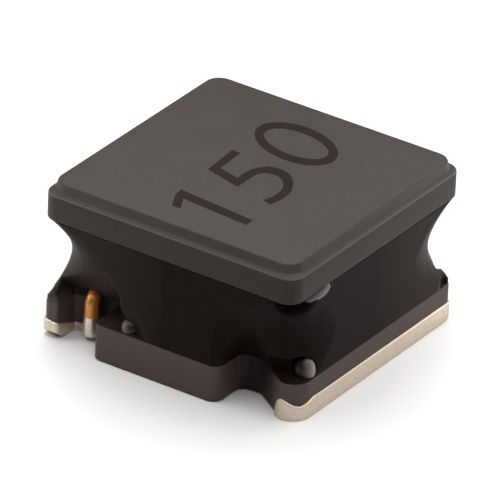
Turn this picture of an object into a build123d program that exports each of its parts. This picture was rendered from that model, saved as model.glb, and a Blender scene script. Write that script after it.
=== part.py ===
# Surface-mount power inductor: a ferrite drum core wound with enamelled copper wire, closed at its
# sides with magnetic resin, on two plated terminals.
# X runs along the side that shows the wire notch, Z is up, and the origin is at the centre of the
# mounting plane.

import os
from math import acos, atan2, cos, hypot, radians, sin

from build123d import *

# Overall sizes
body_width = 5.0
plating = 0.03
base_thickness = 0.64
window_height = 1.59
top_side_height = 0.47

# Outline of the two flanges
flange_corner = 0.32
edge_break = 0.03

# Raised flat top: a bevelled step, then a steep slope up to the flat
step_rise = 0.05
step_inset = 0.07
slope_rise = 0.15
slope_inset = 0.05

# Base flange, wire notch
nub_width = 0.28
nub_setback = 0.16
wire_notch_width = 0.84
wire_notch_depth = 0.67
notch_corner = 0.08
tongue_corner = 0.20

# Base flange, slanted notch beside the toe
slant_notch_start = 1.39
slant_notch_floor = 0.38
slant_notch_depth = 0.72
toe_width = 0.36
toe_setback = 0.28
toe_corner = 0.10

# Plated terminals
band_height = 0.33
toe_band_height = 0.40
toe_band_reach = 0.47
strip_height = 0.11
pad_length = 1.10

# Enamelled wire, wound in layers round the post
wire_diameter = 0.24
layer_count = 4
winding_margin = 0.41
ridge_sides = 8
seat_gap = 0.012
lead_inset = 0.48
lead_bend = 0.16
lead_end_height = 0.06

# Resin between the flanges: its corners draw back in an arc, which starts above the base flange at
# the notched corners and below its top at the toes
resin_corner = 1.35
resin_lip = 0.16
toe_drop = 0.22
resin_gap = 0.012
lead_gap = 0.035

# Slopes of the resin from the outline of the base flange out to its sides: height of each
notch_slope_height = 0.78
nub_slope_height = 0.90

# Hollows of the resin over the wire notch, on the toe and under the top flange: radius, height of the
# upright wall, height of the crown, and place of the middle from the corner of the core
wire_scoop_radius = 0.70
wire_scoop_wall = 0.42
wire_scoop_height = 1.12
wire_scoop_inset = 0.91
wire_scoop_setback = -0.08
toe_scoop_radius = 0.36
toe_scoop_wall = 0.08
toe_scoop_height = 0.34
toe_scoop_inset = 0.31
toe_scoop_setback = 0.55
hanging_scoop_radius = 0.48
hanging_scoop_wall = 0.04
hanging_scoop_height = 0.26
hanging_scoop_inset = 0.05
hanging_scoop_setback = 0.42
crown_slants = (26, 52, 78)

# Beads of resin by the wire notch, on the toe and under the top flange: radius, and place from the
# corner of the core
notch_bead_radius = 0.165
notch_bead_inset = 1.57
notch_bead_setback = 0.17
toe_bead_radius = 0.165
toe_bead_inset = 0.165
toe_bead_setback = 0.71
hanging_bead_radius = 0.20
hanging_bead_inset = 0.20
hanging_bead_setback = 0.74
bead_sink = 0.5
bead_top = 1.4

# Solder on each lead
solder_height = 0.46
solder_waist = 0.20
solder_foot = 0.22
solder_skin = 0.03

# Places worked out from the sizes
core_half = body_width / 2 - plating
base_top = plating + base_thickness
underside = base_top + window_height
side_top = underside + top_side_height
step_top = side_top + step_rise
crown_top = step_top + slope_rise
wire_radius = wire_diameter / 2
winding_radius = core_half - winding_margin

# Turns that fit in one layer, and the places of the layers
turns_in_layer = int((window_height - 2 * seat_gap) / wire_diameter)
pitch = (window_height - 2 * seat_gap) / turns_in_layer
outer_radius = winding_radius - pitch / 2
inner_radius = outer_radius - (layer_count - 1) * wire_diameter
post_radius = inner_radius - wire_radius - seat_gap

# Each lead stands in its wire notch, clear of the plated floor of the notch
lead_x = core_half - nub_width - lead_inset
lead_y = core_half - wire_notch_depth + plating + seat_gap + wire_radius


# Outline of the base flange: a tongue between two notches on each of two opposite sides.
# The second half is the first turned half a turn.
def base_outline():
    notch_floor = -core_half + wire_notch_depth
    slant_start = core_half - slant_notch_start
    slant_floor = -core_half + slant_notch_depth
    corners = [
        (-core_half, -core_half + nub_setback, min(flange_corner, 0.9 * nub_width)),
        (-core_half + nub_width, -core_half + nub_setback, 0),
        (-core_half + nub_width, notch_floor, notch_corner),
        (-core_half + nub_width + wire_notch_width, notch_floor, notch_corner),
        (-core_half + nub_width + wire_notch_width, -core_half, tongue_corner),
        (slant_start, -core_half, tongue_corner),
        (slant_start, slant_floor, notch_corner),
        (slant_start + slant_notch_floor, slant_floor, notch_corner),
        (core_half - toe_width, -core_half + toe_setback, toe_corner),
        (core_half, -core_half + toe_setback, flange_corner),
    ]
    turned = [(-x, -y, radius) for x, y, radius in corners]
    points = [(x, y) for x, y, radius in corners + turned]
    radii = [radius for x, y, radius in corners + turned]
    with BuildSketch(mode=Mode.PRIVATE) as outline:
        with BuildLine():
            FilletPolyline(*points, radius=radii, close=True)
        make_face()
    return outline.sketch


# Sections of the raised top: height, half width and corner radius, all narrowing together
crown_sections = [
    (side_top, core_half, flange_corner),
    (step_top, core_half - step_inset, flange_corner - step_inset),
    (crown_top, core_half - step_inset - slope_inset, flange_corner - step_inset - slope_inset),
]


# Ferrite drum core: notched base flange, round post and a top flange with a raised flat top
with BuildPart() as drum_core:
    with BuildSketch(Plane.XY.offset(plating)):
        add(base_outline())
    extrude(amount=base_thickness)
    with BuildSketch(Plane.XY.offset(base_top)):
        Circle(post_radius)
    extrude(amount=window_height)
    with BuildSketch(Plane.XY.offset(underside)) as flange_sketch:
        RectangleRounded(2 * core_half, 2 * core_half, flange_corner)
    extrude(amount=top_side_height)
    lower_edges = drum_core.faces().filter_by(Axis.Z).sort_by(Axis.Z)[-2].outer_wire().edges()
    chamfer(lower_edges, edge_break)
    for level, half, corner in crown_sections:
        with BuildSketch(Plane.XY.offset(level)):
            RectangleRounded(2 * half, 2 * half, corner)
    loft(ruled=True)
drum_core.part.label = "drum_core"


# Height of the middle of a turn, counted from the base flange
def turn_height(number):
    return base_top + seat_gap + (number - 0.5) * pitch


# Path of a lead: up from the notch, round a bend, and straight on to the tangent of its layer.
# side is 1 for the start lead and -1 for the finish lead.
def lead_path(side, radius, bend):
    distance = hypot(lead_x, lead_y)
    tangent_angle = atan2(lead_y, lead_x) + side * acos(radius / distance)
    foot = (side * lead_x, side * lead_y, lead_end_height)
    corner = (side * lead_x, side * lead_y, lead_height)
    meeting = (side * radius * cos(tangent_angle), side * radius * sin(tangent_angle), lead_height)
    with BuildLine(mode=Mode.PRIVATE) as path:
        FilletPolyline(foot, corner, meeting, radius=bend)
    return path.line


# A round rod along a lead's path: the wire itself, bent, or the square-cornered channel that the
# resin leaves for it
def lead_rod(side, radius, bend, thickness):
    path = lead_path(side, radius, bend)
    with BuildPart(mode=Mode.PRIVATE) as rod:
        with BuildSketch(Plane(path @ 0, z_dir=path % 0)):
            Circle(thickness)
        sweep(path=path, transition=Transition.RIGHT)
    return rod.part


# The start lead runs in low to the inner layer and the finish lead leaves the outer layer as low
lead_height = base_top + seat_gap + wire_radius
leads = [(1, inner_radius), (-1, outer_radius)]

# Winding: one wire whose layers lie packed as a ring, with the outer layer's turns standing proud
with BuildPart() as winding:
    with BuildSketch(Plane.XZ):
        with Locations(((post_radius + seat_gap + outer_radius) / 2, base_top + window_height / 2)):
            Rectangle(outer_radius - post_radius - seat_gap, turns_in_layer * pitch)
        with Locations([(outer_radius, turn_height(number + 1)) for number in range(turns_in_layer)]):
            RegularPolygon(pitch / 2, ridge_sides, major_radius=False, rotation=180 / ridge_sides)
    revolve(axis=Axis.Z)
    for side, radius in leads:
        add(lead_rod(side, radius, lead_bend, wire_radius))
winding.part.label = "winding"


# Layer of plating on the +X end of the base flange, proud of it by depth: it starts near from the
# middle and covers the corners whose side of the X axis is in corner_sides
def plated(depth, near, height, corner_sides):
    with BuildPart(mode=Mode.PRIVATE) as skin:
        with BuildSketch():
            offset(base_outline(), amount=depth)
        extrude(amount=height)
        with BuildSketch(mode=Mode.PRIVATE) as region:
            for corner_side in corner_sides:
                with Locations((near + body_width / 2, corner_side * body_width / 2)):
                    Rectangle(body_width, body_width)
        extrude(region.sketch, amount=height, mode=Mode.INTERSECT)
    return skin.part


# Plated terminal on the +X side: the pad below, the band up the side and round both corners, raised
# on the toe, and the low strip along the wall of the wire notch
pad_start = body_width / 2 - pad_length
toe_band_start = core_half - toe_band_reach
toe_band_far = -core_half + toe_setback + flange_corner
with BuildPart() as terminal_right:
    add(plated(0, pad_start, plating, (-1, 1)))
    add(plated(plating, pad_start, plating + strip_height, (1,)))
    add(plated(plating, toe_band_start, band_height, (-1, 1)))
    with BuildSketch() as toe_sketch:
        offset(base_outline(), amount=plating)
        with Locations((toe_band_start + body_width / 2, toe_band_far - body_width / 2)):
            Rectangle(body_width, body_width, mode=Mode.INTERSECT)
    extrude(amount=toe_band_height)
    with BuildSketch(Plane.XY.offset(plating)):
        add(base_outline())
    extrude(amount=body_width, mode=Mode.SUBTRACT)
terminal_right.part.label = "terminal_right"

with BuildPart() as terminal_left:
    add(terminal_right.part.rotate(Axis.Z, 180))
terminal_left.part.label = "terminal_left"


# Solder: a cone of metal that climbs the lead and wets the notch and the terminal
def solder_joint(side, terminal):
    with BuildPart(mode=Mode.PRIVATE) as joint:
        with BuildSketch(Plane.XZ):
            with BuildLine():
                Polyline(
                    (0, solder_height),
                    (0, 0),
                    (solder_foot, 0),
                    (wire_radius + solder_skin, solder_waist),
                    (wire_radius + solder_skin / 2, solder_height),
                    close=True,
                )
            make_face()
        revolve(axis=Axis.Z)
    placed = joint.part.moved(Location((side * lead_x, side * lead_y, 0)))
    return placed - drum_core.part - terminal - winding.part


with BuildPart() as solder_right:
    add(solder_joint(1, terminal_right.part))
solder_right.part.label = "solder_right"

with BuildPart() as solder_left:
    add(solder_joint(-1, terminal_left.part))
solder_left.part.label = "solder_left"


# Ring that hollows one corner of the resin between two heights: its section is the arc that leaves
# the full corner at those heights and draws back to the larger corner radius half way up
def corner_hollow(x_side, y_side, low, high):
    corner_centre = core_half - resin_corner
    reach = (core_half - flange_corner - corner_centre) * 2**0.5 + flange_corner
    sagitta = reach - resin_corner
    half_chord = (high - low) / 2
    ring_section = (half_chord**2 + sagitta**2) / (2 * sagitta)
    with BuildPart(mode=Mode.PRIVATE) as ring:
        with BuildSketch(Plane.XZ):
            with Locations((resin_corner + ring_section, 0)):
                Circle(ring_section)
        revolve(axis=Axis.Z)
        with Locations((x_side * body_width / 2, y_side * body_width / 2)):
            Box(body_width, body_width, body_width, mode=Mode.INTERSECT)
    return ring.part.moved(Location((x_side * corner_centre, y_side * corner_centre, (low + high) / 2)))


# Room that the resin leaves before a run of edges of the base flange, narrowing upwards until it ends
# in the side
def slope_room(points, height):
    outside = -body_width
    low = [(points[0][0], outside)] + points + [(points[-1][0], outside)]
    high = [(points[0][0], outside)] + [(x, -core_half) for x, y in points] + [(points[-1][0], outside)]
    with BuildPart(mode=Mode.PRIVATE) as room:
        for level, corners in ((base_top, low), (base_top + height, high)):
            with BuildSketch(Plane.XY.offset(level)):
                with BuildLine():
                    Polyline(*corners, close=True)
                make_face()
        loft(ruled=True)
    return room.part


# The rooms of one side, over the slanted notch with its toe, and before the nub
slant_start = core_half - slant_notch_start
slant_edges = [
    (slant_start, -core_half + slant_notch_depth),
    (slant_start + slant_notch_floor, -core_half + slant_notch_depth),
    (core_half - toe_width, -core_half + toe_setback),
    (body_width, -core_half + toe_setback),
]
nub_edges = [(-body_width, -core_half + nub_setback), (-core_half + nub_width, -core_half + nub_setback)]
rooms = [slope_room(slant_edges, notch_slope_height), slope_room(nub_edges, nub_slope_height)]


# Hollow with an upright wall and a round crown, slightly flat at its end, standing on the base flange
# or, where way is -1, hanging from the top flange
def scoop(x, y, way, radius, wall, height):
    with BuildPart(mode=Mode.PRIVATE) as hollow:
        with BuildSketch(Plane.XZ):
            with BuildLine():
                crown = [(radius * cos(radians(slant)), sin(radians(slant))) for slant in crown_slants]
                rises = [(reach, way * (wall + (height - wall) * share)) for reach, share in crown]
                Polyline((0, 0), (radius, 0), (radius, way * wall), *rises, (0, rises[-1][1]), close=True)
            make_face()
        revolve(axis=Axis.Z)
    return hollow.part.moved(Location((x, y, base_top if way > 0 else underside)))


# The hollows of one side: place, way, radius, wall and height; the other side has the same turned
# half round
scoops = [
    (
        -core_half + wire_scoop_inset,
        -core_half + wire_scoop_setback,
        1,
        wire_scoop_radius,
        wire_scoop_wall,
        wire_scoop_height,
    ),
    (
        core_half - toe_scoop_inset,
        -core_half + toe_scoop_setback,
        1,
        toe_scoop_radius,
        toe_scoop_wall,
        toe_scoop_height,
    ),
    (
        core_half - hanging_scoop_inset,
        -core_half + hanging_scoop_setback,
        -1,
        hanging_scoop_radius,
        hanging_scoop_wall,
        hanging_scoop_height,
    ),
]


# Bead of resin on the base flange or, where way is -1, under the top flange, slightly flat at its end
def bead(x, y, way, radius):
    with BuildPart(mode=Mode.PRIVATE) as drop:
        with BuildSketch(Plane.XZ):
            with Locations((0, way * bead_sink * radius)):
                Circle(radius)
            with Locations((radius, way * bead_top * radius / 2)):
                Rectangle(2 * radius, bead_top * radius, mode=Mode.INTERSECT)
        revolve(axis=Axis.Z)
    return drop.part.moved(Location((x, y, base_top if way > 0 else underside)))


# Beads: place, way and radius
beads = [
    (-core_half + notch_bead_inset, -core_half + notch_bead_setback, 1, notch_bead_radius),
    (core_half - toe_bead_inset, -core_half + toe_bead_setback, 1, toe_bead_radius),
    (core_half - hanging_bead_inset, -core_half + hanging_bead_setback, -1, hanging_bead_radius),
]

# Resin that closes the sides between the flanges round the winding
with BuildPart() as resin_fill:
    with BuildSketch(Plane.XY.offset(base_top)):
        RectangleRounded(2 * core_half, 2 * core_half, flange_corner)
    extrude(amount=window_height)
    for side in (1, -1):
        add(corner_hollow(side, side, base_top + resin_lip, underside), mode=Mode.SUBTRACT)
        add(corner_hollow(side, -side, base_top - toe_drop, underside), mode=Mode.SUBTRACT)
        for room in rooms:
            add(room.rotate(Axis.Z, 90 - 90 * side), mode=Mode.SUBTRACT)
        for x, y, way, radius, wall, height in scoops:
            add(scoop(side * x, side * y, way, radius, wall, height), mode=Mode.SUBTRACT)
    for x, y, way, radius in beads:
        add(bead(x, y, way, radius))
    with BuildSketch(Plane.XY.offset(base_top)):
        Circle(winding_radius + resin_gap)
    extrude(amount=window_height, mode=Mode.SUBTRACT)
    for side, radius in leads:
        add(lead_rod(side, radius, 0, wire_radius + lead_gap), mode=Mode.SUBTRACT)
resin_fill.part.label = "resin_fill"

os.makedirs("parts", exist_ok=True)
pieces = [drum_core, winding, resin_fill, terminal_left, terminal_right, solder_left, solder_right]
for piece in pieces:
    export_step(piece.part, f"parts/{piece.part.label}.step")
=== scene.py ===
import math

import bpy
import numpy as np
from mathutils import Matrix, Vector


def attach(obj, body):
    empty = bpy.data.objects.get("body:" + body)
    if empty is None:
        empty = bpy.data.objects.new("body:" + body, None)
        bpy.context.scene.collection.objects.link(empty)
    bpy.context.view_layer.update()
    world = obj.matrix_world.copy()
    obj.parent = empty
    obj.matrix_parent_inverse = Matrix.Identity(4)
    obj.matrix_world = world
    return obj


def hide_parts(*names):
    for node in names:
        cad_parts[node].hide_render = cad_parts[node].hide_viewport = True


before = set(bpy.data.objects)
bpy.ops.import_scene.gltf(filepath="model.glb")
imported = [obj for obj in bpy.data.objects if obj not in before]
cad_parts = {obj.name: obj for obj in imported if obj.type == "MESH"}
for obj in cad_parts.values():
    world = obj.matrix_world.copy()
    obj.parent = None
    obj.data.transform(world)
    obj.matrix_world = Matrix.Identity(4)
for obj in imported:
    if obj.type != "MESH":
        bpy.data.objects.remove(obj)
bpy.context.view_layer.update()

# Drum core: one body of pressed and sintered grey-brown ferrite, with a round post between a notched
# base flange and a square top flange. The press leaves small rounded edges, and a raised flat on top.
MM = 0.001
core_half = 2.47
flange_corner = 0.27
flat_half = 2.396
flat_corner = 0.31
base_top = 0.67
underside = 2.26
flange_edge = 2.724
crown_top = 2.928
post_radius = 1.08
nub_end = 2.31
nub_inner = 2.19
nub_corner = 0.12
wire_notch_back = 1.80
wire_notch_right = 1.35
slant_notch_left = 1.08
slant_notch_back = 1.75
toe_end = 2.19
base_corners = [
    (-core_half, -nub_end, nub_corner),
    (-nub_inner, -nub_end, 0.03),
    (-nub_inner, -wire_notch_back, 0.08),
    (-wire_notch_right, -wire_notch_back, 0.08),
    (-wire_notch_right - 0.01, -core_half, 0.09),
    (slant_notch_left, -core_half, 0.20),
    (slant_notch_left, -slant_notch_back, 0.18),
    (1.46, -slant_notch_back, 0.30),
    (2.11, -toe_end, 0.10),
    (core_half, -toe_end, 0.32),
]
top_corners = [(-core_half, -core_half, flange_corner), (core_half, -core_half, flange_corner)]
flat_corners = [(-flat_half, -flat_half, flat_corner), (flat_half, -flat_half, flat_corner)]


def closed_loop(half_of_corners, count):
    """Evenly spaced points round a loop whose corners are rounded, and the outward direction at each.

    The other half of the corners is the given half, turned by half a turn.
    """
    corners = half_of_corners + [(-x, -y, radius) for x, y, radius in half_of_corners]
    points = []
    for before, here, after in zip(corners[-1:] + corners[:-1], corners, corners[1:] + corners[:1]):
        corner = np.array(here[:2])
        radius = here[2]
        back = np.array(before[:2]) - corner
        on = np.array(after[:2]) - corner
        back, on = back / np.hypot(*back), on / np.hypot(*on)
        half_angle = math.acos(np.clip(back @ on, -1, 1)) / 2
        middle = corner + (back + on) / np.hypot(*(back + on)) * radius / math.sin(half_angle)
        first = corner + back * radius / math.tan(half_angle) - middle
        last = corner + on * radius / math.tan(half_angle) - middle
        start = math.atan2(first[1], first[0])
        sweep = (math.atan2(last[1], last[0]) - start + math.pi) % (2 * math.pi) - math.pi
        for share in np.linspace(0, 1, 13):
            angle = start + share * sweep
            points.append(middle + radius * np.array((math.cos(angle), math.sin(angle))))
    points = np.array(points)
    length = np.concatenate(([0], np.cumsum(np.hypot(*(np.roll(points, -1, 0) - points).T))))
    closed = np.vstack((points, points[:1]))
    places = np.linspace(0, length[-1], count, endpoint=False)
    loop = np.stack([np.interp(places, length, closed[:, axis]) for axis in (0, 1)], axis=1)
    along = np.roll(loop, -1, 0) - np.roll(loop, 1, 0)
    outward = np.stack((along[:, 1], -along[:, 0]), axis=1)
    return loop, outward / np.hypot(*outward.T)[:, None]


def circle(radius, count):
    """Evenly spaced points round a circle."""
    angles = np.linspace(0, 2 * math.pi, count, endpoint=False)
    return radius * np.stack((np.cos(angles), np.sin(angles)), axis=1)


def at_height(points, height):
    """Flat points lifted to a height."""
    return np.column_stack((np.array(points), np.full(len(points), height)))


def inset_loops(corners, count, profile):
    """Loops round the corners at the insets and heights of a profile."""
    loop, outward = closed_loop(corners, count)
    return [at_height(loop - inset * outward, height) for inset, height in profile]


def stack(loops):
    """Vertices and faces of a closed body whose sides run through the loops, from the lowest one up."""
    count = len(loops[0])
    vertices = np.concatenate(loops)
    faces = []
    for level in range(len(loops) - 1):
        low, high = level * count, (level + 1) * count
        faces += [(low + i, low + (i + 1) % count, high + (i + 1) % count, high + i) for i in range(count)]
    faces.append(tuple(range(count - 1, -1, -1)))
    faces.append(tuple(range((len(loops) - 1) * count, len(loops) * count)))
    return vertices, faces


def ramp(value, start, end):
    """Share of the way from the start to the end, held between 0 and 1."""
    return np.clip((value - start) / (end - start), 0, 1)


def rounded_nub(loop):
    """A loop of the base with the lower edge under each nub rounded upwards."""
    x, y, z = loop.T
    under_nub = (x * y > 0) & (np.abs(x) > 2.1)
    lift = 0.13 * ramp(np.abs(y), 2.08, nub_end) ** 2 * ramp(z, 0.30, 0)
    return np.column_stack((x, y, z + under_nub * lift))


def make_piece(name, bodies, material, nodes):
    """One object from several closed bodies, given in mm."""
    vertices, faces = [], []
    for body_vertices, body_faces in bodies:
        faces += [tuple(index + len(vertices) for index in face) for face in body_faces]
        vertices += [tuple(float(value) * MM for value in vertex) for vertex in body_vertices]
    mesh = bpy.data.meshes.new(name)
    mesh.from_pydata(vertices, [], faces)
    mesh.polygons.foreach_set("use_smooth", [len(face) < 5 for face in faces])
    mesh.set_sharp_from_angle(angle=math.radians(50))
    mesh.materials.append(material)
    piece = bpy.data.objects.new(name, mesh)
    bpy.context.collection.objects.link(piece)
    if nodes:
        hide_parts(*nodes)
    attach(piece, "root")
    return piece


def points_of(piece):
    """The X, Y and Z of a piece's points, in mm."""
    return (np.array([vertex.co for vertex in piece.data.vertices]) / MM).T


def speckled_material(name, dark, light, roughness, grain_mm, bump_mm, metallic=0.0, shine=0.25):
    """A material whose colour and shine vary with two sizes of grain, with a fine bump."""
    material = bpy.data.materials.new(name)
    material.use_nodes = True
    nodes, links = material.node_tree.nodes, material.node_tree.links
    shader = nodes["Principled BSDF"]
    place = nodes.new("ShaderNodeTexCoord")
    fine = nodes.new("ShaderNodeTexNoise")
    fine.inputs["Scale"].default_value = 1 / (grain_mm * MM)
    fine.inputs["Detail"].default_value = 4
    broad = nodes.new("ShaderNodeTexNoise")
    broad.inputs["Scale"].default_value = 1 / (20 * grain_mm * MM)
    broad.inputs["Detail"].default_value = 3
    both = nodes.new("ShaderNodeMix")
    both.inputs["Factor"].default_value = 0.35
    colours = nodes.new("ShaderNodeValToRGB")
    colours.color_ramp.elements[0].position = 0.35
    colours.color_ramp.elements[0].color = (*dark, 1)
    colours.color_ramp.elements[1].position = 0.65
    colours.color_ramp.elements[1].color = (*light, 1)
    gloss = nodes.new("ShaderNodeMapRange")
    gloss.inputs["To Min"].default_value = roughness - 0.06
    gloss.inputs["To Max"].default_value = roughness + 0.06
    bump = nodes.new("ShaderNodeBump")
    bump.inputs["Strength"].default_value = 0.6
    bump.inputs["Distance"].default_value = bump_mm * MM
    links.new(place.outputs["Object"], fine.inputs["Vector"])
    links.new(place.outputs["Object"], broad.inputs["Vector"])
    links.new(fine.outputs["Fac"], both.inputs["A"])
    links.new(broad.outputs["Fac"], both.inputs["B"])
    links.new(both.outputs["Result"], colours.inputs["Fac"])
    links.new(colours.outputs["Color"], shader.inputs["Base Color"])
    links.new(broad.outputs["Fac"], gloss.inputs["Value"])
    links.new(gloss.outputs["Result"], shader.inputs["Roughness"])
    links.new(fine.outputs["Fac"], bump.inputs["Height"])
    links.new(bump.outputs["Normal"], shader.inputs["Normal"])
    shader.inputs["Metallic"].default_value = metallic
    shader.inputs["Specular IOR Level"].default_value = shine
    return material


def tint(piece, name, values, colour):
    """Mix a second colour into a piece's material by a value stored at its points."""
    piece.data.attributes.new(name, "FLOAT", "POINT").data.foreach_set("value", values)
    nodes, links = piece.active_material.node_tree.nodes, piece.active_material.node_tree.links
    shader = nodes["Principled BSDF"]
    stored = nodes.new("ShaderNodeAttribute")
    stored.attribute_name = name
    blend = nodes.new("ShaderNodeMix")
    blend.data_type = "RGBA"
    blend.inputs["B"].default_value = colour
    links.new(stored.outputs["Fac"], blend.inputs["Factor"])
    links.new(shader.inputs["Base Color"].links[0].from_socket, blend.inputs["A"])
    links.new(blend.outputs["Result"], shader.inputs["Base Color"])


base_profile = [
    (0.012, 0.03), (0.003, 0.038), (0, 0.05), (0, 0.645), (0.003, 0.658), (0.012, 0.667), (0.025, base_top),
]
crown_profile = [
    (0.030, underside), (0.012, 2.267), (0.003, 2.279), (0, 2.295),
    (0, 2.705), (0.004, 2.722), (0.016, 2.738), (0.052, 2.765),
]
flat_profile = [
    (-0.009, 2.776), (0, 2.786), (0.034, 2.898), (0.039, 2.912), (0.049, 2.924), (0.068, crown_top),
]
ferrite = speckled_material(
    "ferrite", dark=(0.0395, 0.0335, 0.0285), light=(0.0505, 0.0434, 0.0373),
    roughness=0.52, grain_mm=0.035, bump_mm=0.004, shine=0.15,
)
base_body = stack([rounded_nub(loop) for loop in inset_loops(base_corners, 900, base_profile)])
post_body = stack([at_height(circle(post_radius, 96), height) for height in (base_top, underside)])
top_body = stack(inset_loops(top_corners, 480, crown_profile) + inset_loops(flat_corners, 480, flat_profile))
core = make_piece("core", [base_body, post_body, top_body], ferrite, ["drum_core"])

core_x, core_y, core_z = points_of(core)
out_x, out_y = np.abs(core_x), np.abs(core_y)
on_top_side = (core_z > underside) & (core_z < 2.71)
slant_side = core_x * core_y < 0
on_slant = slant_side * ramp(out_x, slant_notch_left, 1.13) * ramp(out_x, 2.05, 1.75)
on_slant = on_slant * ramp(out_y, core_half, 2.35) * (out_y > 1.6)
behind_wire = ~slant_side & (out_x > 1.3) & (out_x < 1.68) & (out_y > 1.7) & (out_y < 2.3)
notch_darkness = np.maximum(0.80 * on_slant, 0.97 * behind_wire) * (core_z < base_top + 0.01)
# Painted highlight: a thin lighter band along the top flange's outer edge, where the edge catches the light.
tint(core, "painted_edge_highlight", np.exp(-((core_z - flange_edge) / 0.012) ** 2), (0.105, 0.092, 0.080, 1))
# Painted shade: the sides of the top flange are darkened, as they get less light than the top.
tint(core, "painted_side_shade", 0.62 * on_top_side, (0.018, 0.0125, 0.009, 1))
# Painted light: the base flange is made lighter and redder than the shaded sides of the top flange.
tint(core, "painted_base_light", 0.9 * (core_z < base_top), (0.074, 0.051, 0.047, 1))
# The ferrite is made darker inside the slanted notch and on the back wall behind the wire.
tint(core, "notch_darkening", notch_darkness, (0.012, 0.0080, 0.0072, 1))

# Terminals: the ends of the base flange are dipped and plated with tin. The skin covers the bottom,
# climbs the sides in a band that ends in a raised round tongue on the toe, and lines the wire notch.
plating = 0.03
pad_start = 1.40
side_band = 0.33
notch_band = 0.14
tongue_start = 2.00
tongue_full = 2.16
back_count = 80
outline, outline_out = closed_loop(base_corners, 1800)
entering = (outline[:, 0] > pad_start) & (np.roll(outline[:, 0], 1) <= pad_start)
first = int(np.argmax(entering))
outline, outline_out = np.roll(outline, -first, 0), np.roll(outline_out, -first, 0)
covered = int(np.argmin(outline[:, 0] > pad_start))
wrap, wrap_out = outline[:covered], outline_out[:covered]
wrap_x, wrap_y = wrap.T
on_toe = wrap_y < -1.5
tongue = np.sqrt(1 - ramp(wrap_x, tongue_full, tongue_start) ** 2)
toe_dip = np.exp(-((wrap_x - 2.42) / 0.19) ** 2) * ramp(wrap_y, -1.75, -2.05)
toe_band = 0.335 + 0.05 * ramp(wrap_y, -1.6, -2.2) ** 1.5 - 0.11 * toe_dip
band = np.where(on_toe, plating + (toe_band - plating) * tongue, side_band)
in_wire_notch = (wrap_y > 1.5) & (wrap_x < 2.30)
band = np.where(in_wire_notch, notch_band + (side_band - notch_band) * ramp(wrap_y, 1.85, 2.35), band)
thickness = plating * np.where(on_toe, ramp(wrap_x, 1.99, 2.01), 1)
back_y = np.linspace(wrap_y[-1], wrap_y[0], back_count + 2)[1:-1]
back_edge = np.column_stack((np.full(back_count, pad_start), back_y))
skin_loops = []
for thickness_share, band_share, rise in (
    (0.3, 0, 0.0), (0.7, 0, 0.004), (1, 0, 0.016), (1, 1, -0.026), (0.9, 1, -0.012),
    (0.6, 1, -0.003), (0.2, 1, 0), (0, 1, 0), (0, 0, plating),
):
    points = wrap + (thickness_share * thickness)[:, None] * wrap_out
    levels = np.clip(band_share * band + rise, 0 if band_share == 0 else plating, None)
    back_level = min(max(band_share * plating + rise, 0), plating)
    whole_loop = np.concatenate((np.column_stack((points, levels)), at_height(back_edge, back_level)))
    skin_loops.append(rounded_nub(whole_loop))
tin_plating = speckled_material(
    "tin_plating", dark=(0.56, 0.47, 0.37), light=(0.67, 0.57, 0.46),
    roughness=0.42, grain_mm=0.06, bump_mm=0.003, metallic=0.70, shine=0.5,
)
for side, turn in (("right", 1), ("left", -1)):
    turned = [loop * (turn, turn, 1) for loop in skin_loops]
    make_piece(f"{side}_terminal", [stack(turned)], tin_plating, [f"terminal_{side}"])

# Winding: one length of enamelled copper wire in four layers on the post. Its start runs in along the
# base flange and its finish leaves the outer layer; both bend down into the wire notches.
wire_radius = 0.12
layer_radii = (1.21, 1.45, 1.69, 1.93)
turn_pitch = 0.261
turn_steps = 64
climb_steps = 32
low_turn = 0.795
lead_place = np.array((1.755, 1.957))
lead_foot = 0.12
lead_bend = 0.16
lead_reach = math.hypot(*lead_place)
lead_angle = math.atan2(lead_place[1], lead_place[0])


def on_circle(radius, angle, height):
    """A point of the wire at a radius, an angle and a height."""
    return (radius * math.cos(angle), radius * math.sin(angle), height)


def lead_points(place, meeting):
    """Points of a lead from its foot in the notch, round its bend, to where it meets its turn."""
    inward = (meeting - place) / np.hypot(*(meeting - place))
    points = [(*place, height) for height in np.linspace(lead_foot, low_turn - lead_bend, 10)]
    for angle in np.linspace(0, math.pi / 2, 12)[1:]:
        foot = place + inward * lead_bend * (1 - math.cos(angle))
        points.append((*foot, low_turn - lead_bend + lead_bend * math.sin(angle)))
    return points


start_angle = lead_angle + math.acos(layer_radii[0] / lead_reach)
finish_angle = math.pi + lead_angle - math.acos(layer_radii[-1] / lead_reach)
start_meeting = np.array(on_circle(layer_radii[0], start_angle, 0)[:2])
finish_meeting = np.array(on_circle(layer_radii[-1], finish_angle, 0)[:2])
wire_points = lead_points(lead_place, start_meeting)
angle = start_angle
height = low_turn
for layer, radius in enumerate(layer_radii):
    turns = 5 if layer == 0 else 4
    rise = turn_pitch if layer % 2 == 0 else -turn_pitch
    for step in range(turns * turn_steps):
        wire_points.append(on_circle(radius, angle, height))
        angle += 2 * math.pi / turn_steps
        height += rise / turn_steps
    if layer < len(layer_radii) - 1:
        climb = layer_radii[layer + 1] - radius
        for step in range(climb_steps):
            wire_points.append(on_circle(radius + climb * step / climb_steps, angle, height))
            angle += 2 * math.pi / turn_steps
last_sweep = (finish_angle - angle) % (2 * math.pi)
if last_sweep < math.pi:
    last_sweep += 2 * math.pi
for share in np.linspace(0, 1, 80):
    drop = height + (low_turn - height) * share * share * (3 - 2 * share)
    wire_points.append(on_circle(layer_radii[-1], angle + share * last_sweep, drop))
wire_points += lead_points(-lead_place, finish_meeting)[::-1]

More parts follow.
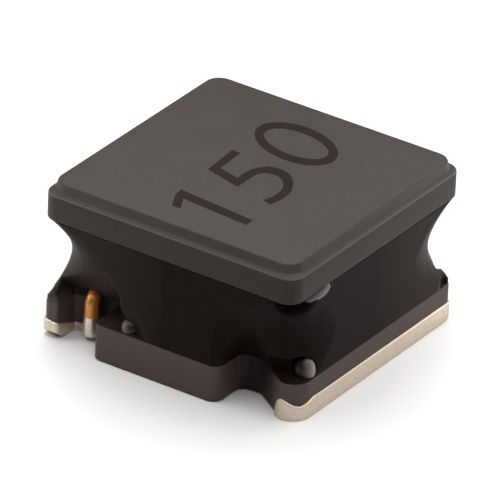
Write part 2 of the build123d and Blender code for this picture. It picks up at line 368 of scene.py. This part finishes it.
wire_mesh = bpy.data.meshes.new("coil")
wire_edges = [(i, i + 1) for i in range(len(wire_points) - 1)]
wire_mesh.from_pydata([tuple(value * MM for value in point) for point in wire_points], wire_edges, [])
coil = bpy.data.objects.new("coil", wire_mesh)
bpy.context.collection.objects.link(coil)
enamelled_wire = speckled_material(
    "enamelled_wire", dark=(0.50, 0.17, 0.03), light=(0.66, 0.26, 0.055),
    roughness=0.30, grain_mm=0.12, bump_mm=0.001, metallic=0.35, shine=0.5,
)

wire_maker = bpy.data.node_groups.new("Wire along a path", "GeometryNodeTree")
wire_sockets = wire_maker.interface
wire_sockets.new_socket("Path", in_out="INPUT", socket_type="NodeSocketGeometry")
radius_socket = wire_sockets.new_socket("Wire Radius", in_out="INPUT", socket_type="NodeSocketFloat")
radius_socket.default_value = wire_radius * MM
sides_socket = wire_sockets.new_socket("Sides", in_out="INPUT", socket_type="NodeSocketInt")
sides_socket.default_value = 16
material_socket = wire_sockets.new_socket("Material", in_out="INPUT", socket_type="NodeSocketMaterial")
wire_sockets.new_socket("Wire", in_out="OUTPUT", socket_type="NodeSocketGeometry")
maker_nodes, maker_links = wire_maker.nodes, wire_maker.links
given = maker_nodes.new("NodeGroupInput")
made = maker_nodes.new("NodeGroupOutput")
to_curve = maker_nodes.new("GeometryNodeMeshToCurve")
section = maker_nodes.new("GeometryNodeCurvePrimitiveCircle")
to_mesh = maker_nodes.new("GeometryNodeCurveToMesh")
to_mesh.inputs["Fill Caps"].default_value = True
realize = maker_nodes.new("GeometryNodeRealizeInstances")
paint = maker_nodes.new("GeometryNodeSetMaterial")
maker_links.new(given.outputs["Path"], to_curve.inputs["Mesh"])
maker_links.new(given.outputs["Wire Radius"], section.inputs["Radius"])
maker_links.new(given.outputs["Sides"], section.inputs["Resolution"])
maker_links.new(to_curve.outputs["Curve"], to_mesh.inputs["Curve"])
maker_links.new(section.outputs["Curve"], to_mesh.inputs["Profile Curve"])
maker_links.new(to_mesh.outputs["Mesh"], realize.inputs["Geometry"])
maker_links.new(realize.outputs["Geometry"], paint.inputs["Geometry"])
maker_links.new(given.outputs["Material"], paint.inputs["Material"])
maker_links.new(paint.outputs["Geometry"], made.inputs["Wire"])
winder = coil.modifiers.new("winder", "NODES")
winder.node_group = wire_maker
winder[material_socket.identifier] = enamelled_wire
evaluated = coil.evaluated_get(bpy.context.evaluated_depsgraph_get())
coil_mesh = bpy.data.meshes.new_from_object(evaluated)
coil.modifiers.clear()
coil.data = coil_mesh
coil_mesh.polygons.foreach_set("use_smooth", [True] * len(coil_mesh.polygons))
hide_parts("winding")
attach(coil, "root")

# Solder: each lead is dipped in solder where it meets its terminal. The metal wets the wire in a thin
# uneven sleeve, from the plated floor of the notch to just under the bare enamel.
sleeve_profile = (
    (0.108, 0.095), (0.124, 0.105), (0.131, 0.13), (0.134, 0.18), (0.135, 0.24), (0.135, 0.32),
    (0.133, 0.39), (0.129, 0.435), (0.123, 0.46),
)
sleeve_angles = np.linspace(0, 2 * math.pi, 64, endpoint=False)
solder_metal = speckled_material(
    "solder_metal", dark=(0.60, 0.52, 0.45), light=(0.72, 0.64, 0.56),
    roughness=0.32, grain_mm=0.05, bump_mm=0.003, metallic=0.8, shine=0.5,
)
for side, turn in (("right", 1), ("left", -1)):
    sleeve_loops = []
    for radius, height in sleeve_profile:
        uneven = radius * (1 + 0.05 * np.sin(3 * sleeve_angles + 2) * (0.3 + height))
        around = np.stack((uneven * np.cos(sleeve_angles), uneven * np.sin(sleeve_angles)), axis=1)
        sleeve_loops.append(at_height(turn * (lead_place + around), height))
    make_piece(f"{side}_solder", [stack(sleeve_loops)], solder_metal, [f"solder_{side}"])

# Resin: dark epoxy filled with ferrite powder, run in between the flanges round the winding. It draws
# back from the corners as it cures, leaves hollows over the notches, and stands in small drops there.
winding_wall = 2.06
corner_middle = 1.12
slack_radius = 1.35
notch_lip = base_top + 0.08
toe_lip = base_top - 0.22
spread_height = 1.35
film = 0.02
film_inset = 0.004
nub_skin_inset = 0.006
skin_count = 720
base_loop = closed_loop(base_corners, 360)[0]

# Each hollow: its middle, its radii and the width of its rounded rim
toe_hollow = ((2.03, -2.12, 0.83), (0.31, 0.26, 0.22), 0.03)
toe_side_hollow = ((2.30, -1.97, 0.83), (0.23, 0.36, 0.22), 0.04)
hanging_hollow = ((2.38, -2.22, underside), (0.38, 0.40, 0.42), 0.08)
notch_side_hollow = ((-0.72, -2.66, 0.76), (0.36, 0.30, 0.32), 0.16)
nub_pocket = ((-2.49, -2.11, 0.765), (0.09, 0.13, 0.09), 0.01)
egg_hollows = (toe_hollow, toe_side_hollow, hanging_hollow, notch_side_hollow, nub_pocket)

# Each drop: its middle, its radii, the direction of its side that is painted lighter and how much lighter it
# is painted
notch_drop = ((-0.73, -2.30, 0.735), (0.165, 0.165, 0.17), (-0.8, -0.5, 0.1), 0.5)
toe_drop = ((2.29, -1.76, 0.76), (0.175, 0.175, 0.235), (0.9, 0.3, 0.1), 1.0)
hanging_drop = ((2.352, -1.62, 2.205), (0.144, 0.37, 0.175), (0.6, 0.1, -0.8), 0.6)


def corner_radius(height, low):
    """Distance of the drawn-back corner from its middle, at a height."""
    reach = (core_half - flange_corner - corner_middle) * math.sqrt(2) + flange_corner
    rise = (underside - low) / 2
    sag = reach - slack_radius
    bend = (rise**2 + sag**2) / (2 * sag)
    from_middle = height - (underside + low) / 2
    return slack_radius + bend - np.sqrt(np.maximum(bend**2 - from_middle**2, 0))


def outline_distance(x, y):
    """Signed distance from the base flange's outline."""
    points = np.stack((x, y), axis=-1)[..., None, :]
    starts, ends = base_loop, np.roll(base_loop, -1, 0)
    edges, offsets = ends - starts, points - starts
    share = np.clip((offsets * edges).sum(-1) / (edges * edges).sum(-1), 0, 1)
    nearest = np.sqrt(((offsets - share[..., None] * edges) ** 2).sum(-1)).min(-1)
    spans = (starts[..., 1] > points[..., 1]) != (ends[..., 1] > points[..., 1])
    slope = edges[..., 0] / np.where(spans, edges[..., 1], 1)
    crossing = starts[..., 0] + (points[..., 1] - starts[..., 1]) * slope
    crossings = (spans & (points[..., 0] < crossing)).sum(-1)
    return np.where(crossings % 2 == 1, -nearest, nearest)


def meet(first, second, width):
    """The larger of two distances, with a rounded edge of the given width where they are equal."""
    mix = np.clip(0.5 + 0.5 * (first - second) / width, 0, 1)
    return first * mix + second * (1 - mix) + width * mix * (1 - mix)


def egg_hollow(x, y, z, middle, radii):
    """Signed distance from an egg-shaped hollow."""
    parts = [(place - centre) / radius for place, centre, radius in zip((x, y, z), middle, radii)]
    scaled = np.sqrt(sum(part**2 for part in parts))
    slope = np.sqrt(sum((part / radius)**2 for part, radius in zip(parts, radii)))
    return scaled * (scaled - 1) / np.maximum(slope, 1e-6)


def wire_hollow(x, y, z):
    """Signed distance from the room over the wire notch, whose walls lean out as they rise."""
    back_wall = -1.82 - 0.65 * (1 - ramp(z, 1.75, 0.80) ** 1.5)
    right_wall = -0.86 - 1.62 * (1 - np.sqrt(1 - np.minimum(ramp(z, 1.05, 2.30), 0.99) ** 2))
    nub_wall = -nub_inner - 0.5 * np.maximum(z - 0.76, 0)
    return meet(meet(x - right_wall, y - back_wall, 0.20), nub_wall - x, 0.10)


def nub_hollow(x, y, z):
    """Signed distance from the room before the nub beside the wire notch."""
    past_corner_x = np.maximum(nub_corner - core_half - x, 0)
    past_corner_y = np.maximum(nub_corner - nub_end - y, 0)
    from_corner = np.hypot(past_corner_x, past_corner_y) - nub_corner
    beyond = -np.maximum(from_corner, -nub_end - y)
    return np.maximum(beyond, np.maximum(x + 1.60, y + 1.95)) + 0.5 * np.maximum(z - 0.80, 0)


def resin_distance(x, y, z):
    """Signed distance from the resin's outer surface, negative inside it, for places at all heights."""
    out_x, out_y = np.abs(x), np.abs(y)
    side = np.maximum(out_x, out_y) - core_half
    past_middle = np.hypot(np.maximum(out_x - corner_middle, 0), np.maximum(out_y - corner_middle, 0))
    crease = 0.001 + 0.16 * ramp(np.minimum(out_x, out_y), corner_middle, corner_middle + 0.5)
    notched = x * y > 0
    solid = side + np.zeros_like(z)
    for lip, here in ((notch_lip, notched), (toe_lip, ~notched)):
        drawn = np.where(z < lip, -1, past_middle - corner_radius(z, lip))
        solid = np.where(here, meet(solid, drawn, crease), solid)
    corner = core_half - flange_corner
    past_corner = np.hypot(np.maximum(out_x - corner, 0), np.maximum(out_y - corner, 0))
    round_corner = np.where(np.minimum(out_x, out_y) > corner, past_corner - flange_corner, -1)
    solid = np.maximum(solid, round_corner)
    outline_side = outline_distance(x, y)
    spread = 1 - (1 - ramp(z, base_top, base_top + spread_height)) ** 1.25
    sloping = (1 - spread) * np.maximum(outline_side, solid) + spread * solid
    solid = np.where(notched, solid, sloping)
    for turn in (1, -1):
        solid = meet(solid, -nub_hollow(turn * x, turn * y, z), 0.05)
        solid = meet(solid, -wire_hollow(turn * x, turn * y, z), 0.04)
        for middle, radii, rim in egg_hollows:
            solid = meet(solid, -egg_hollow(turn * x, turn * y, z, middle, radii), rim)
    film_over_base = np.maximum(outline_side + film_inset, z - base_top - film)
    return np.maximum(np.minimum(solid, film_over_base), side + film_inset)


def outer_loops(middles, heights, steps, count, inset):
    """Loops where rays from the middles come within the inset of the resin's surface, one loop a height."""
    directions = circle(1, count)
    level = heights[:, None]
    reach = np.full((len(heights), count), steps[-1])
    inside = np.ones(reach.shape, dtype=bool)
    previous = np.full(reach.shape, -1.0)
    for inner, outer in zip(steps[:-1], steps[1:]):
        x, y = np.moveaxis(middles[:, None] + outer * directions, -1, 0)
        now = resin_distance(x, y, level) + inset
        leaving = inside & (now > 0)
        crossing = inner + (outer - inner) * previous / np.where(leaving, previous - now, 1)
        reach = np.where(leaving, np.maximum(crossing, inner), reach)
        inside &= ~leaving
        previous = now
    return [
        at_height(middle + row[:, None] * directions, height)
        for middle, row, height in zip(np.broadcast_to(middles, (len(heights), 2)), reach, heights)
    ]


def ring(loops):
    """Vertices and faces of a closed ring whose skin runs through the loops and back to the first one."""
    count = len(loops[0])
    vertices = np.concatenate(loops)
    faces = []
    for level in range(len(loops)):
        low, high = level * count, (level + 1) % len(loops) * count
        faces += [(low + i, low + (i + 1) % count, high + (i + 1) % count, high + i) for i in range(count)]
    return vertices, faces


height_shares = np.linspace(0, 1, 116)
height_shares = height_shares - 0.13 * np.sin(2 * math.pi * height_shares)
resin_heights = base_top + (underside - base_top) * height_shares
skin_steps = np.linspace(winding_wall + 0.01, 3.4, 150)
skin = outer_loops(np.zeros((1, 2)), resin_heights, skin_steps, skin_count, 0)
bore = [at_height(circle(winding_wall, skin_count), height) for height in (underside, base_top)]
nub_heights = np.linspace(base_top, 0.99, 46)
nub_rise = np.maximum(nub_heights - 0.76, 0)
nub_middles = np.column_stack((-2.33 - 0.22 * nub_rise, -2.06 + 0.62 * nub_rise))
nub_skin = outer_loops(nub_middles, nub_heights, np.linspace(0.001, 0.40, 45), 96, nub_skin_inset)
nub_bodies = [stack([loop * (turn, turn, 1) for loop in nub_skin]) for turn in (1, -1)]
magnetic_resin = speckled_material(
    "magnetic_resin", dark=(0.0066, 0.0042, 0.0034), light=(0.0101, 0.0067, 0.0055),
    roughness=0.46, grain_mm=0.05, bump_mm=0.003, shine=0.035,
)
resin_bodies = [ring(skin + bore)] + nub_bodies
resin = make_piece("resin", resin_bodies, magnetic_resin, ["resin_fill"])

resin_x, resin_y, resin_z = points_of(resin)
out_x, out_y = np.abs(resin_x), np.abs(resin_y)
toward_notches = 2 * resin_x * resin_y / (resin_x**2 + resin_y**2)
on_nub = (out_x > 2.15) & (out_y > 1.9) & (toward_notches > 0)
in_gap = on_nub & (out_x > 2.36) & (out_y > 1.98) & (out_y < 2.24)
in_gap = in_gap & (resin_z > base_top + 0.01) & (resin_z < 0.85)
# Painted light: the resin grows lighter towards the two notched corners, as if lit more strongly there.
tint(resin, "painted_end_light", 0.85 * ramp(toward_notches, 0, 0.9) ** 0.8, (0.024, 0.0178, 0.0135, 1))
tint(resin, "thin_over_nub", 0.9 * on_nub * ramp(resin_z, 0.86, 0.69), (0.072, 0.050, 0.046, 1))
# Painted shade: a near-black patch in the narrow gap beside each nub.
tint(resin, "painted_gap_shade", 0.97 * in_gap, (0.0015, 0.0012, 0.001, 1))

drop_count = 48
slants = np.linspace(-0.49 * math.pi, 0.49 * math.pi, 25)
ball_loops = [at_height(math.cos(slant) * circle(1, drop_count), math.sin(slant)) for slant in slants]
ball = np.concatenate(ball_loops)
drop_bodies = []
painted_drop_light = []
for middle, radii, lit_side, light_share in (notch_drop, toe_drop, hanging_drop):
    for turn in (1, -1):
        points = (np.array(middle) + ball * radii) * (turn, turn, 1)
        drop_bodies.append(stack(list(points.reshape(len(slants), drop_count, 3))))
        # Painted light: each drop is made lighter on one side, as if lit from that side.
        painted_drop_light.append(light_share * np.clip(0.08 + 0.92 * ball @ np.array(lit_side), 0, 1) ** 1.8)
drop_resin = speckled_material(
    "drop_resin", dark=(0.009, 0.007, 0.006), light=(0.014, 0.011, 0.010),
    roughness=0.36, grain_mm=0.05, bump_mm=0.001, shine=0.25,
)
resin_drops = make_piece("resin_drops", drop_bodies, drop_resin, [])
tint(resin_drops, "painted_drop_light", np.concatenate(painted_drop_light), (0.25, 0.218, 0.208, 1))

# Value code: three plain digits printed on the raised flat in thin dark ink, read from the side of the
# left terminal.
ink_bottom = 2.925
ink_top = 2.93
digit_one = [
    (-0.34, -1.85), (-0.18, -1.84), (-0.33, -1.54), (0.97, -1.65),
    (0.96, -1.45), (-0.53, -1.31), (-0.51, -1.51),
]
digit_five = [
    (-0.580, -0.470), (0.130, -0.670), (0.130, -0.430), (0.130, -0.230), (0.140, -0.140), (0.170, -0.060),
    (0.220, 0.000), (0.290, 0.030), (0.430, 0.050), (0.560, -0.010), (0.670, -0.130), (0.730, -0.230),
    (0.760, -0.340), (0.770, -0.440), (0.770, -0.560), (0.750, -0.680), (0.710, -0.780), (0.880, -0.830),
    (0.920, -0.690), (0.940, -0.500), (0.930, -0.380), (0.900, -0.230), (0.790, -0.020), (0.670, 0.130),
    (0.550, 0.220), (0.420, 0.260), (0.290, 0.270), (0.160, 0.230), (0.050, 0.120), (-0.030, -0.050),
    (-0.045, -0.230), (-0.030, -0.420), (-0.450, -0.310), (-0.480, 0.320), (-0.650, 0.330),
]
zero_middle = np.array((0.058, 1.152))


def leaning_oval(length, width, lean_angle):
    """Points round an oval of the digit zero, whose long axis leans from the X axis."""
    along, across = (circle(1, 96) * (length, width)).T
    turned_x = along * math.cos(lean_angle) - across * math.sin(lean_angle)
    turned_y = along * math.sin(lean_angle) + across * math.cos(lean_angle)
    return zero_middle + np.stack((turned_x, turned_y), axis=1)


zero_outer = leaning_oval(0.832, 0.553, -0.279)
zero_inner = leaning_oval(0.640, 0.361, -0.16)
one_body = stack([at_height(digit_one, ink_bottom), at_height(digit_one, ink_top)])
five_body = stack([at_height(digit_five, ink_bottom), at_height(digit_five, ink_top)])
zero_body = ring([
    at_height(zero_outer, ink_bottom), at_height(zero_outer, ink_top),
    at_height(zero_inner, ink_top), at_height(zero_inner, ink_bottom),
])
dark_ink = speckled_material(
    "dark_ink", dark=(0.0100, 0.0056, 0.0048), light=(0.0145, 0.0086, 0.0075),
    roughness=0.55, grain_mm=0.03, bump_mm=0.001, shine=0.1,
)
make_piece("digits", [one_body, five_body, zero_body], dark_ink, [])

# View: a long lens far from the part, so that its edges stay nearly parallel. The camera leans a
# little to one side, and stands above the corner that shows the toe.
azimuth = math.radians(32.9)
elevation = math.radians(28.75)
lean = math.radians(2.58)
target = Vector((0, 0, 1.47 * MM))
distance = 154 * MM
pixels_per_mm = 61.25
image_size = 500
principal_point = (250.26, 247.59)

toward = Vector((
    math.sin(azimuth) * math.cos(elevation),
    -math.cos(azimuth) * math.cos(elevation),
    math.sin(elevation),
))
level_right = Vector((math.cos(azimuth), math.sin(azimuth), 0))
level_up = toward.cross(level_right)
right = level_right * math.cos(lean) + level_up * math.sin(lean)
up = level_up * math.cos(lean) - level_right * math.sin(lean)
lens_data = bpy.data.cameras.new("view")
lens_data.lens = pixels_per_mm / MM * distance / image_size * lens_data.sensor_width
lens_data.shift_x = (image_size / 2 - principal_point[0]) / image_size
lens_data.shift_y = (principal_point[1] - image_size / 2) / image_size
lens_data.clip_start = distance / 10
lens_data.clip_end = 100 * distance
camera = bpy.data.objects.new("view", lens_data)
camera_turn = Matrix((right, up, toward)).transposed().to_4x4()
camera.matrix_world = Matrix.Translation(target + toward * distance) @ camera_turn
bpy.context.collection.objects.link(camera)
bpy.context.scene.camera = camera
bpy.context.scene.view_settings.view_transform = "Standard"

# Light and floor: a wide soft lamp high over the part, a small one before each end of it, a dim white
# surround, and a pale plain floor under the pads.
for name, place, size, power in (
    ("top_softbox", (0, 40, 300), 600, 3.4),
    ("right_softbox", (5, 6.5, 2.6), 3.0, 0.00013),
    ("left_softbox", (-6.2, -4.6, 2.8), 3.0, 0.00012),
):
    lamp = bpy.data.lights.new(name, "AREA")
    lamp.size = size * MM
    lamp.energy = power
    lamp_object = bpy.data.objects.new(name, lamp)
    lamp_object.location = Vector(place) * MM
    lamp_object.rotation_euler = (-Vector(place)).to_track_quat("-Z", "Y").to_euler()
    bpy.context.collection.objects.link(lamp_object)

world = bpy.data.worlds.new("studio")
world.use_nodes = True
world.node_tree.nodes["Background"].inputs["Color"].default_value = (1, 1, 1, 1)
world.node_tree.nodes["Background"].inputs["Strength"].default_value = 0.05
bpy.context.scene.world = world

bpy.ops.mesh.primitive_plane_add(size=1)
floor = bpy.context.object
floor.name = "floor"
floor_paint = bpy.data.materials.new("floor_paint")
floor_paint.use_nodes = True
floor_paint.node_tree.nodes["Principled BSDF"].inputs["Base Color"].default_value = (0.7, 0.7, 0.7, 1)
floor.data.materials.append(floor_paint)
